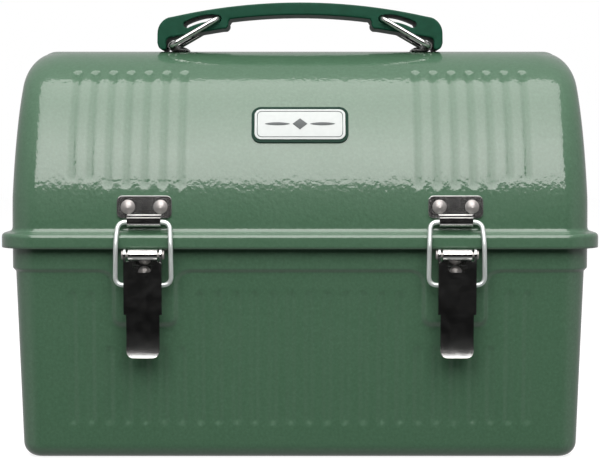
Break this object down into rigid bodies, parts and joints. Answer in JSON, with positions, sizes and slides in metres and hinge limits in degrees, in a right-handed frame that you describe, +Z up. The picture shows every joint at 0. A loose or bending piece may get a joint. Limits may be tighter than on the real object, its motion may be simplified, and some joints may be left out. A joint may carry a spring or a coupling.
{
  "type": "metal lunch box",
  "caption": "Dome-top steel lunch box with a hinged lid, draw latches, a lifting link handle and a bottle retainer in the lid.",
  "frame": {"origin": "centre of the base's underside, on the surface that the box stands on", "axes": "+X to the box's right seen from the front and along its length, -Y out of the front, where the latches are, +Z up"},
  "size_m": [0.3352, 0.1829, 0.2589],
  "materials": {
    "enamel": "gloss hammertone",
    "badge_border": "gloss",
    "badge_field": "gloss",
    "hardware": "bright nickel plate",
    "rivet": "bright nickel plate",
    "wire": "bright nickel plate",
    "handle": "satin"
  },
  "bodies": {
    "base": {"base_shell": "enamel", "latch_plate_left": "hardware", "latch_plate_right": "hardware", "latch_pin_left": "rivet", "latch_pin_right": "rivet", "latch_plate_rivets": "rivet", "hinge_leaf_lower_left": "hardware", "hinge_leaf_lower_right": "hardware", "hinge_pin_left": "rivet", "hinge_pin_right": "rivet", "hinge_lower_rivets": "rivet"},
    "lid": {"lid_shell": "enamel", "badge_plate": "badge_border", "badge_insert": "badge_field", "keeper_left": "hardware", "keeper_right": "hardware", "keeper_rivets": "rivet", "hinge_leaf_upper_left": "hardware", "hinge_leaf_upper_right": "hardware", "hinge_upper_rivets": "rivet", "handle_bracket_left": "hardware", "handle_bracket_right": "hardware", "handle_bracket_rivets": "rivet", "retainer_clip_left": "hardware", "retainer_clip_right": "hardware", "retainer_catch": "hardware"},
    "retainer": {"bottle_retainer": "wire"},
    "lever_left": {"latch_lever_left": "hardware"},
    "lever_right": {"latch_lever_right": "hardware"},
    "bail_left": {"latch_bail_left": "wire"},
    "bail_right": {"latch_bail_right": "wire"},
    "handle": {"handle_grip": "handle"},
    "link_left": {"handle_link_left": "wire"},
    "link_right": {"handle_link_right": "wire"}
  },
  "joints": [
    {"name": "lid_hinge", "type": "hinge", "parent": "base", "child": "lid", "pos_m": [0, 0.0886, 0.1216], "axis": [-1, 0, 0], "range_deg": [0, 105]},
    {"name": "retainer_swing", "type": "hinge", "parent": "lid", "child": "retainer", "pos_m": [0, 0.068, 0.135], "axis": [1, 0, 0], "range_deg": [0, 60]},
    {"name": "lever_left_lift", "type": "hinge", "parent": "base", "child": "lever_left", "pos_m": [-0.086, -0.088, 0.1155], "axis": [-1, 0, 0], "range_deg": [0, 140]},
    {"name": "lever_right_lift", "type": "hinge", "parent": "base", "child": "lever_right", "pos_m": [0.086, -0.088, 0.1155], "axis": [-1, 0, 0], "range_deg": [0, 140]},
    {"name": "bail_left_swing", "type": "hinge", "parent": "lever_left", "child": "bail_left", "pos_m": [-0.086, -0.0865, 0.0988], "axis": [1, 0, 0], "range_deg": [0, 161.5]},
    {"name": "bail_right_swing", "type": "hinge", "parent": "lever_right", "child": "bail_right", "pos_m": [0.086, -0.0865, 0.0988], "axis": [1, 0, 0], "range_deg": [0, 161.5]},
    {"name": "handle_lift", "type": "slide", "parent": "lid", "child": "handle", "axis": [0, 0, 1], "range_m": [0, 0.018]},
    {"name": "link_left_swing", "type": "hinge", "parent": "lid", "child": "link_left", "pos_m": [-0.0754, 0, 0.2336], "axis": [0, -1, 0], "range_deg": [0, 43.7]},
    {"name": "link_right_swing", "type": "hinge", "parent": "lid", "child": "link_right", "pos_m": [0.0754, 0, 0.2336], "axis": [0, 1, 0], "range_deg": [0, 43.7]}
  ],
  "couplings": [
    {"joint": "bail_left_swing", "follows": "lever_left_lift", "ratio": 1.15},
    {"joint": "bail_right_swing", "follows": "lever_right_lift", "ratio": 1.15},
    {"joint": "link_left_swing", "follows": "handle_lift", "rad_per_m": 42.372},
    {"joint": "link_right_swing", "follows": "handle_lift", "rad_per_m": 42.372}
  ]
}
